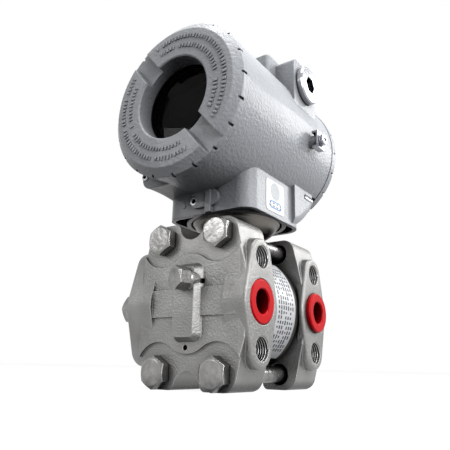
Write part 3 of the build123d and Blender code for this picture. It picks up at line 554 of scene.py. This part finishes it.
def lines_of_print() -> Pattern:
    """Tree of short printed bars in rows, with widths and gaps varied by a fixed seed.

    Returns:
        The tree.
    """
    tree = Pattern("lines_of_print")
    columns, rows = (tree.input(name, "NodeSocketInt") for name in ("Columns", "Rows"))
    width, height = tree.input("Width"), tree.input("Height")
    bar_width, bar_height, rise = (
        tree.input(name) for name in ("Bar Width", "Bar Height", "Rise")
    )
    fill, seed = tree.input("Fill"), tree.input("Seed", "NodeSocketInt")
    grid = tree.node("GeometryNodeMeshGrid", {
        "Size X": width, "Size Y": height, "Vertices X": columns, "Vertices Y": rows,
    })
    bar = tree.node("GeometryNodeMeshCube", {"Size": tree.vector(bar_width, bar_height, rise)})
    bars = tree.node("GeometryNodeInstanceOnPoints", {
        "Points": grid.outputs[0], "Selection": tree.kept(fill, seed), "Instance": bar.outputs[0],
        "Scale": tree.scaled((0.35, 1.0, 1.0), (1.0, 1.0, 1.0), seed),
    })
    tree.close(bars.outputs[0])
    return tree


def joined(name: str, parts: Iterable[tuple[bpy.types.Mesh, Matrix]]) -> bpy.types.Mesh:
    """One mesh of several, each moved to its place and keeping its material.

    Args:
        name: name of the new mesh.
        parts: meshes of one material each, with their places.

    Returns:
        The new mesh.
    """
    whole = bmesh.new()
    materials: list[bpy.types.Material] = []
    for mesh, place in parts:
        mesh.transform(place)
        if mesh.materials[0] not in materials:
            materials.append(mesh.materials[0])
        older = len(whole.faces)
        whole.from_mesh(mesh)
        whole.faces.ensure_lookup_table()
        for face in whole.faces[older:]:
            face.material_index = materials.index(mesh.materials[0])
        bpy.data.meshes.remove(mesh)
    bmesh.ops.recalc_face_normals(whole, faces=whole.faces)
    result = bpy.data.meshes.new(name)
    whole.to_mesh(result)
    whole.free()
    for material in materials:
        result.materials.append(material)
    return result


def rounded_patch(width: float, height: float, rise: float,
                  material: bpy.types.Material) -> bpy.types.Mesh:
    """Thin patch of print with round ends, in its local XY plane.

    Args:
        width: along X.
        height: along Y; the ends' radius is half of the smaller of the two.
        rise: how far it stands up.
        material: its finish.

    Returns:
        The patch.
    """
    radius = min(width, height) / 2
    patch = bmesh.new()
    rim = []
    for step in range(PATCH_STEPS):
        angle = (step + 0.5) * math.tau / PATCH_STEPS
        across, up = math.cos(angle), math.sin(angle)
        rim.append(patch.verts.new((
            math.copysign(width / 2 - radius, across) + radius * across,
            math.copysign(height / 2 - radius, up) + radius * up, rise / 2,
        )))
    top = patch.faces.new(rim)
    base = bmesh.ops.extrude_face_region(patch, geom=[top])["geom"]
    corners = [item for item in base if isinstance(item, bmesh.types.BMVert)]
    bmesh.ops.translate(patch, vec=(0, 0, -rise), verts=corners)
    mesh = bpy.data.meshes.new("patch")
    patch.to_mesh(mesh)
    patch.free()
    mesh.materials.append(material)
    return mesh


def axes(origin: Vector, x: Vector, z: Vector) -> Matrix:
    """Place of a local frame.

    Args:
        origin: where it lies, in metres.
        x: direction of its X.
        z: direction of its Z.

    Returns:
        The matrix from local coordinates to the shared frame.
    """
    y = z.cross(x)
    turned = Matrix((x, y, z)).transposed().to_4x4()
    return Matrix.Translation(origin) @ turned


class Assembly:
    """What every sub-assembly can do: dress CAD nodes and add pieces that ride on a body."""

    body: str

    def __init__(self, maker: MaterialMaker) -> None:
        """Keep the maker of materials."""
        self.maker = maker

    def dress(self, surface: Surface, *names: str) -> None:
        """Give CAD nodes a finish.

        Args:
            surface: the finish.
            names: the nodes.
        """
        for name in names:
            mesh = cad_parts[name].data
            mesh.materials.clear()
            mesh.materials.append(self.maker.get(surface))

    def dress_faces(self, surface: Surface, name: str,
                    chosen: Callable[[Vector, Vector], bool]) -> None:
        """Give some faces of a CAD node a second finish.

        Args:
            surface: the second finish.
            name: the node.
            chosen: true for a face's middle and normal where the finish goes.
        """
        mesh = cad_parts[name].data
        mesh.materials.append(self.maker.get(surface))
        for face in mesh.polygons:
            face.material_index = 1 if chosen(face.center, face.normal) else 0

    def add(self, name: str, mesh: bpy.types.Mesh, body: str, surface: Surface) -> None:
        """Add a piece of the scene.

        Args:
            name: what it is called.
            mesh: its shape, in the shared frame.
            body: the CAD body that it rides on.
            surface: not used.
        """
        piece = bpy.data.objects.new(name, mesh)
        bpy.context.scene.collection.objects.link(piece)
        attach(piece, body)
        log.info("%s: %d faces on %s", name, len(mesh.polygons), body)


@dataclass
class MarkArc:
    """One arc of raised marks on the window cover, in degrees and millimetres."""

    radius: float
    start: float
    sweep: float
    count: int
    length: float
    width: float


@dataclass
class CoverSizes:
    """Sizes of a cover that the boxes of its CAD parts don't give, in millimetres.

    Args:
        skirt_radius: just outside the threaded skirt.
        rim_depth: from the cover's face to where the skirt starts.
        end_lean: share of a normal along Y from which a face is an end face.
        mark_rise: how far the marks stand up.
        mark_fill: share of the marks that are there.
        arcs: the arcs of marks.
    """

    skirt_radius: float = 36.6
    rim_depth: float = 7.9
    end_lean: float = 0.9
    mark_rise: float = 0.5
    mark_fill: float = 0.92
    arcs: list[MarkArc] = field(default_factory=lambda: [
        MarkArc(32.6, -35.0, 148.0, 41, 2.5, 0.95),
        MarkArc(32.6, 145.0, 148.0, 41, 2.5, 0.95),
        MarkArc(27.6, -31.0, 142.0, 33, 2.4, 0.9),
        MarkArc(27.6, 149.0, 140.0, 33, 2.4, 0.9),
    ])


class Cover(Assembly):
    """A screwed cover of the housing, with the glass and the marks of the front one."""

    def __init__(self, maker: MaterialMaker, name: str) -> None:
        """Find the cover's axis from its box.

        Args:
            maker: the maker of materials.
            name: front or rear.
        """
        super().__init__(maker)
        self.sizes = CoverSizes()
        self.name = name
        self.side = SIDES[name]
        self.body = f"{name}_lid"
        low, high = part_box(f"{name}_cover")
        self.middle = (low + high) / 2
        self.face = low.y if self.side == FRONT else high.y

    def build(self) -> None:
        """Dress the cover and add what belongs to its side."""
        self.dress(Surface.PAINT, f"{self.name}_cover")
        self.dress(Surface.RUBBER, f"{self.name}_cover_seal")
        self.dress_faces(Surface.THREADED, f"{self.name}_cover", self._is_thread)
        if self.side == FRONT:
            self.dress(Surface.GLASS, "window_glass")
            self.dress(Surface.RUBBER, "window_gasket")
            self.dress(Surface.BLACK, "glass_retainer")
            self._add_marks()

    def _is_thread(self, place: Vector, normal: Vector) -> bool:
        """True on the skirt, whose thread stays bare metal.

        Args:
            place: middle of a face.
            normal: its normal.

        Returns:
            Whether the face belongs to the thread.
        """
        sizes = self.sizes
        reach = math.hypot(place.x - self.middle.x, place.z - self.middle.z)
        behind_rim = self.side * (self.face - place.y) > sizes.rim_depth * MM
        inside = reach < sizes.skirt_radius * MM
        return behind_rim and inside and abs(normal.y) < sizes.end_lean

    def _add_marks(self) -> None:
        """Raised plain marks round the cover's ring, cast with it."""
        tree = ring_of_bars()
        centre = Vector((0, self.face, self.middle.z))
        place = axes(centre, Vector((1, 0, 0)), Vector((0, self.side, 0)))
        meshes = []
        for seed, arc in enumerate(self.sizes.arcs):
            mesh = tree.grow({
                "Count": arc.count, "Radius": arc.radius * MM,
                "Start": math.radians(arc.start), "Sweep": math.radians(arc.sweep),
                "Width": arc.width * MM, "Length": arc.length * MM,
                "Rise": self.sizes.mark_rise * MM, "Fill": self.sizes.mark_fill, "Seed": seed,
                "Material": self.maker.get(Surface.PAINT),
            })
            meshes.append((mesh, place))
        self.add("cover_marks", joined("cover_marks", meshes), self.body, Surface.PAINT)


@dataclass
class HousingSizes:
    """Sizes of the housing's bores and of the print on its side label, in millimetres.

    Args:
        bore_radius: just outside the threaded bores.
        bore_start: how far from the middle the bores' threads start.
        side_lean: share of a normal along Y up to which a face is a bore's wall.
        rise: how far the print stands up.
        disc: across the disc.
        disc_up: its middle above the label's.
        sign: size of the patch with round ends.
        sign_down: its middle below the label's.
        inner: size of the pale patch in it.
        inner_shares: its thickness and lift, as shares of the rise.
        bars: size of the field of bars, middle to middle.
        bar: size of one bar.
        bars_lift: lift of the bars, as a share of the rise.
    """

    bore_radius: float = 36.7
    bore_start: float = 28.0
    side_lean: float = 0.5
    rise: float = 0.05
    disc: float = 9.4
    disc_up: float = 3.0
    sign: tuple[float, float] = (12.0, 4.2)
    sign_down: float = 4.6
    inner: tuple[float, float] = (10.6, 2.8)
    inner_shares: tuple[float, float] = (1.4, 0.2)
    bars: tuple[float, float] = (10.5, 1.6)
    bar: tuple[float, float] = (2.6, 0.7)
    bars_lift: float = 0.6


class Housing(Assembly):
    """The painted casting with its blanking plugs, small screws, ground clamp and side label."""

    body = "housing"

    def __init__(self, maker: MaterialMaker) -> None:
        """Find the height of the covers' axis from a seal's box.

        Args:
            maker: the maker of materials.
        """
        super().__init__(maker)
        self.sizes = HousingSizes()
        low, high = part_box("front_cover_seal")
        self.axis_height = (low.z + high.z) / 2

    def build(self) -> None:
        """Dress the casting's pieces and print the side label."""
        self.dress(Surface.PAINT, "main_housing")
        self.dress_faces(Surface.THREADED, "main_housing", self._is_bore)
        self.dress(Surface.PLATED, "ground_clamp", "ground_washer", "ground_screw")
        self.dress(Surface.PLATED, "neck_set_screw")
        self.dress(Surface.FILM, "side_label")
        for hand in HANDS:
            self.dress(Surface.PLATED, f"{hand}_entry_plug")
            self.dress(Surface.RUBBER, f"{hand}_entry_seal")
        for side in SIDES:
            self.dress(Surface.PLATED, f"{side}_lock_screw")
        self._print_label()

    def _is_bore(self, place: Vector, normal: Vector) -> bool:
        """True on the threaded bores at both mouths.

        Args:
            place: middle of a face.
            normal: its normal.

        Returns:
            Whether the face belongs to a bore.
        """
        sizes = self.sizes
        inside = math.hypot(place.x, place.z - self.axis_height) < sizes.bore_radius * MM
        inwards = normal.x * place.x + normal.z * (place.z - self.axis_height) < 0
        at_mouth = abs(place.y) > sizes.bore_start * MM
        return inside and inwards and abs(normal.y) < sizes.side_lean and at_mouth

    def _print_label(self) -> None:
        """A plain disc, a patch with round ends and bars, printed on the side label."""
        sizes = self.sizes
        low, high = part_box("side_label")
        middle = (low + high) / 2
        place = axes(Vector((high.x, middle.y, middle.z)), Vector((0, 1, 0)), Vector((1, 0, 0)))
        rise = sizes.rise * MM
        thicker, lift = sizes.inner_shares
        bars = lines_of_print().grow({
            "Columns": 4, "Rows": 2, "Width": sizes.bars[0] * MM, "Height": sizes.bars[1] * MM,
            "Bar Width": sizes.bar[0] * MM, "Bar Height": sizes.bar[1] * MM, "Rise": rise,
            "Fill": 1.0, "Seed": 3, "Material": self.maker.named("print", PRINT),
        })
        grey, blue = self.maker.named("print_grey", GREY), self.maker.named("print_blue", BLUE)
        pale = self.maker.get(Surface.FILM)
        disc = rounded_patch(sizes.disc * MM, sizes.disc * MM, rise, grey)
        sign = rounded_patch(sizes.sign[0] * MM, sizes.sign[1] * MM, rise, blue)
        inner = rounded_patch(sizes.inner[0] * MM, sizes.inner[1] * MM, thicker * rise, pale)
        down = -sizes.sign_down * MM
        shapes = [
            (disc, place @ Matrix.Translation((0, sizes.disc_up * MM, 0))),
            (sign, place @ Matrix.Translation((0, down, 0))),
            (inner, place @ Matrix.Translation((0, down, lift * rise))),
            (bars, place @ Matrix.Translation((0, down, sizes.bars_lift * rise))),
        ]
        self.add("side_label_print", joined("side_label_print", shapes), self.body, Surface.FILM)


class Electronics(Assembly):
    """Display, electronics block and terminals inside the housing."""

    def build(self) -> None:
        """Dress what is inside."""
        self.dress(Surface.BLACK, "display_module", "electronics_module", "terminal_block")
        self.dress(Surface.SCREEN, "display_screen")
        self.dress(Surface.PLATED, "terminal_screws")


@dataclass
class ThreadSizes:
    """Places and sizes of the threads in the mounting holes and on the bolts, in millimetres."""

    hole_radius: float = 5.45
    hole_pitch: float = 1.27
    hole_depth: float = 12.0
    hole_inset: float = 0.5
    ridge: float = 0.45
    mount_spacing: float = 41.3
    port_spacing: float = 54.0
    bolt_x: float = 17.2
    bolt_z: float = 31.8
    bolt_radius: float = 3.95
    bolt_pitch: float = 1.25
    bolt_ridge: float = 0.28


@dataclass
class CellPrint:
    """Bars printed on the cell's label.

    Args:
        columns: bars round the cell.
        rows: rows of bars along it.
        wrap: how far they run round the cell, in radians.
        depth_share: how much of the label's depth the rows take.
        bar: size of one bar, in millimetres.
        rise: thickness of the print, in millimetres.
        fill: share of the bars that are there.
        seed: what chooses them.
    """

    columns: int = 19
    rows: int = 7
    wrap: float = 1.42
    depth_share: float = 0.72
    bar: tuple[float, float] = (2.3, 1.1)
    rise: float = 0.14
    fill: float = 0.88
    seed: int = 5


class MeasuringCell(Assembly):
    """The cell between its two process flanges, with bolts, vents, plugs and the neck."""

    body = "cell"

    def __init__(self, maker: MaterialMaker) -> None:
        """Find the cell's middle from its box.

        Args:
            maker: the maker of materials.
        """
        super().__init__(maker)
        self.threads = ThreadSizes()
        self.print = CellPrint()
        low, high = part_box("cell_body")
        flange_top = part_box("front_flange")[1].z
        self.centre = Vector(((low.x + high.x) / 2, (low.y + high.y) / 2, flange_top / 2))

    def build(self) -> None:
        """Dress the pieces, cut the threads and print the cell's label."""
        self.dress(Surface.TURNED, "cell_body", "sensor_capsule", "neck")
        self.dress(Surface.RUBBER, "neck_seal")
        self.dress(Surface.BRIGHT, "flange_bolts", "flange_nuts")
        self.dress(Surface.FILM, "cell_label")
        for side in SIDES:
            self.dress(Surface.CAST, f"{side}_flange")
            self.dress(Surface.SHEET, f"{side}_gasket")
            self.dress(Surface.TURNED, f"{side}_diaphragm")
            self.dress(Surface.BRIGHT, f"{side}_vent_screw", f"{side}_side_plug")
            self.dress(Surface.RED, f"{side}_port_plug")
        self._add_hole_threads()
        self._add_bolt_threads()
        self._print_label()

    def _add_hole_threads(self) -> None:
        """Threads in the eight mounting holes of the flanges."""
        tree = helix_of_thread()
        sizes = self.threads
        low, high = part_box("front_flange")
        meshes = []
        for hand, face in zip(HANDS.values(), (high.x, low.x)):
            for side in (FRONT, REAR):
                for up in (1, -1):
                    mouth = Vector((
                        face, self.centre.y + side * sizes.port_spacing / 2 * MM,
                        self.centre.z + up * sizes.mount_spacing / 2 * MM,
                    ))
                    mesh = tree.grow({
                        "Turns": sizes.hole_depth / sizes.hole_pitch,
                        "Radius": sizes.hole_radius * MM, "Height": sizes.hole_depth * MM,
                        "Depth": sizes.ridge * MM,
                        "Material": self.maker.named("cut_thread", CUT_THREAD),
                    })
                    inward = Vector((-hand, 0, 0))
                    start = mouth + inward * sizes.hole_inset * MM
                    meshes.append((mesh, axes(start, Vector((0, 1, 0)), inward)))
        self.add("mounting_threads", joined("mounting_threads", meshes), self.body, Surface.BRIGHT)

    def _add_bolt_threads(self) -> None:
        """Threads on the bolts' ends behind the nuts."""
        tree = helix_of_thread()
        sizes = self.threads
        bolt_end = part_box("flange_bolts")[1].y
        nut_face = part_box("flange_nuts")[1].y
        reach = bolt_end - nut_face - sizes.bolt_ridge * MM
        across, up = sizes.bolt_x * MM, sizes.bolt_z * MM
        meshes = []
        for x in (self.centre.x - across, self.centre.x + across):
            for z in (self.centre.z - up, self.centre.z + up):
                mesh = tree.grow({
                    "Turns": reach / (sizes.bolt_pitch * MM), "Radius": sizes.bolt_radius * MM,
                    "Height": reach, "Depth": sizes.bolt_ridge * MM,
                    "Material": self.maker.get(Surface.BRIGHT),
                })
                place = axes(Vector((x, nut_face, z)), Vector((1, 0, 0)), Vector((0, 1, 0)))
                meshes.append((mesh, place))
        self.add("bolt_threads", joined("bolt_threads", meshes), self.body, Surface.BRIGHT)

    def _print_label(self) -> None:
        """Rows of plain bars on the cell's label, bent round the cell."""
        low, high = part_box("cell_label")
        radius = high.x - self.centre.x
        layout = self.print
        mesh = lines_of_print().grow({
            "Columns": layout.columns, "Rows": layout.rows, "Width": radius * layout.wrap,
            "Height": (high.y - low.y) * layout.depth_share, "Bar Width": layout.bar[0] * MM,
            "Bar Height": layout.bar[1] * MM, "Rise": layout.rise * MM, "Fill": layout.fill,
            "Seed": layout.seed, "Material": self.maker.named("print", PRINT),
        })
        for vertex in mesh.vertices:
            along_label, across_label, rise = vertex.co
            angle = along_label / radius
            vertex.co = (
                self.centre.x + (radius + rise) * math.cos(angle),
                (low.y + high.y) / 2 + across_label,
                self.centre.z + (radius + rise) * math.sin(angle),
            )
        whole = joined("cell_label_print", [(mesh, Matrix())])
        self.add("cell_label_print", whole, self.body, Surface.FILM)


@dataclass
class Lamp:
    """One soft lamp: its place and aim in metres, its size and its power."""

    place: tuple[float, float, float]
    aim: tuple[float, float, float]
    size: float
    power: float


@dataclass
class Studio:
    """Floor, world, lamps and the camera at the photograph's angle.

    Args:
        eye: place of the camera, in metres.
        right: its direction to the right.
        forward: its direction of view.
        lens: focal length, in millimetres.
        sensor: width of the sensor, in millimetres.
        clip: nearest and farthest distance, in metres.
        floor_half: half of the floor's side, in metres.
        backdrop: strength of the world where it is seen.
        floor_tone: colour of the floor under the shadow.
        floor_bounce: colour of the floor as it lights the object.
        floor_fade: how far the seen floor goes to plain white.
        floor_glow: strength of that white.
        sky: strength of the world as it lights the object.
        lamps: the lamps.
    """

    eye: tuple[float, float, float] = (0.1479, -0.2140, 0.0109)
    right: tuple[float, float, float] = (0.8158, 0.5780, 0.0214)
    forward: tuple[float, float, float] = (-0.5602, 0.7803, 0.2781)
    lens: float = 39.16
    sensor: float = 36.0
    clip: tuple[float, float] = (0.005, 50.0)
    floor_half: float = 6.0
    backdrop: float = 1.0
    floor_tone: float = 0.9
    floor_bounce: float = 0.02
    floor_fade: float = 0.85
    floor_glow: float = 1.1
    sky: float = 0.27
    lamps: list[Lamp] = field(default_factory=lambda: [
        Lamp((0.72, -0.22, 0.28), (0.0, 0.0, 0.07), 0.5, 4.7),
        Lamp((0.15, 0.00, 0.95), (0.0, 0.0, 0.09), 0.7, 11.0),
        Lamp((-0.32, -0.52, 0.31), (0.0, 0.0, 0.07), 0.2, 0.6),
        Lamp((0.50, 0.66, 0.44), (0.0, 0.0, 0.06), 0.4, 3.8),
    ])

    def build(self) -> None:
        """Make the whole studio."""
        self._add_floor()
        self._light()
        self._add_camera()
        bpy.context.scene.view_settings.view_transform = "Standard"

    def _seen(self, nodes: bpy.types.Nodes, links: bpy.types.NodeLinks) -> bpy.types.NodeSocket:
        """1 for rays that show the background: from the camera, from gloss or through glass.

        Args:
            nodes: the material's or world's nodes.
            links: its links.

        Returns:
            The socket of that value.
        """
        path = nodes.new("ShaderNodeLightPath")
        total = path.outputs["Is Camera Ray"]
        for name in ("Is Glossy Ray", "Is Transmission Ray"):
            either = nodes.new("ShaderNodeMath")
            either.operation = "MAXIMUM"
            links.new(total, either.inputs[0])
            links.new(path.outputs[name], either.inputs[1])
            total = either.outputs[0]
        return total

    def _add_floor(self) -> None:
        """Plain pale floor, seen partly as plain white, that keeps a soft shadow."""
        half = self.floor_half
        mesh = bpy.data.meshes.new("floor")
        corners = [(-half, -half, 0), (half, -half, 0), (half, half, 0), (-half, half, 0)]
        mesh.from_pydata(corners, [], [(0, 1, 2, 3)])
        floor = bpy.data.objects.new("floor", mesh)
        bpy.context.scene.collection.objects.link(floor)
        material = bpy.data.materials.new("floor")
        material.use_nodes = True
        nodes, links = material.node_tree.nodes, material.node_tree.links
        nodes.clear()
        bounce = nodes.new("ShaderNodeBsdfDiffuse")
        bounce.inputs["Color"].default_value = (*[self.floor_bounce] * 3, 1)
        pale = nodes.new("ShaderNodeBsdfDiffuse")
        pale.inputs["Color"].default_value = (*[self.floor_tone] * 3, 1)
        white = nodes.new("ShaderNodeEmission")
        white.inputs["Strength"].default_value = self.floor_glow
        shown = nodes.new("ShaderNodeMixShader")
        shown.inputs[0].default_value = self.floor_fade
        links.new(pale.outputs[0], shown.inputs[1])
        links.new(white.outputs[0], shown.inputs[2])
        either = nodes.new("ShaderNodeMixShader")
        links.new(self._seen(nodes, links), either.inputs[0])
        links.new(bounce.outputs[0], either.inputs[1])
        links.new(shown.outputs[0], either.inputs[2])
        links.new(either.outputs[0], nodes.new("ShaderNodeOutputMaterial").inputs[0])
        mesh.materials.append(material)

    def _light(self) -> None:
        """World that shows white and lights softly, and the lamps."""
        world = bpy.data.worlds.new("studio")
        bpy.context.scene.world = world
        world.use_nodes = True
        nodes, links = world.node_tree.nodes, world.node_tree.links
        background = nodes["Background"]
        level = nodes.new("ShaderNodeMapRange")
        level.inputs["To Min"].default_value = self.sky
        level.inputs["To Max"].default_value = self.backdrop
        links.new(self._seen(nodes, links), level.inputs["Value"])
        links.new(level.outputs["Result"], background.inputs["Strength"])
        background.inputs["Color"].default_value = (1, 1, 1, 1)
        for number, lamp in enumerate(self.lamps):
            light = bpy.data.lights.new(f"lamp_{number}", "AREA")
            light.size = lamp.size
            light.energy = lamp.power
            holder = bpy.data.objects.new(light.name, light)
            bpy.context.scene.collection.objects.link(holder)
            toward = Vector(lamp.aim) - Vector(lamp.place)
            holder.location = lamp.place
            holder.rotation_euler = toward.to_track_quat("-Z", "Y").to_euler()

    def _add_camera(self) -> None:
        """Camera at the photograph's place and angle."""
        data = bpy.data.cameras.new("camera")
        data.lens = self.lens
        data.sensor_width = self.sensor
        data.clip_start, data.clip_end = self.clip
        camera = bpy.data.objects.new("camera", data)
        bpy.context.scene.collection.objects.link(camera)
        camera.matrix_world = axes(Vector(self.eye), Vector(self.right).normalized(),
                                   -Vector(self.forward).normalized())
        bpy.context.scene.camera = camera


def main() -> None:
    """Build every sub-assembly in order, then the studio."""
    logging.basicConfig(level=logging.INFO, format="%(name)s: %(message)s")
    maker = MaterialMaker()
    for part in (Cover(maker, "front"), Cover(maker, "rear"), Housing(maker), Electronics(maker),
                 MeasuringCell(maker)):
        part.build()
        log.info("%s is dressed", type(part).__name__)
    Studio().build()


if __name__ == "__main__":
    main()
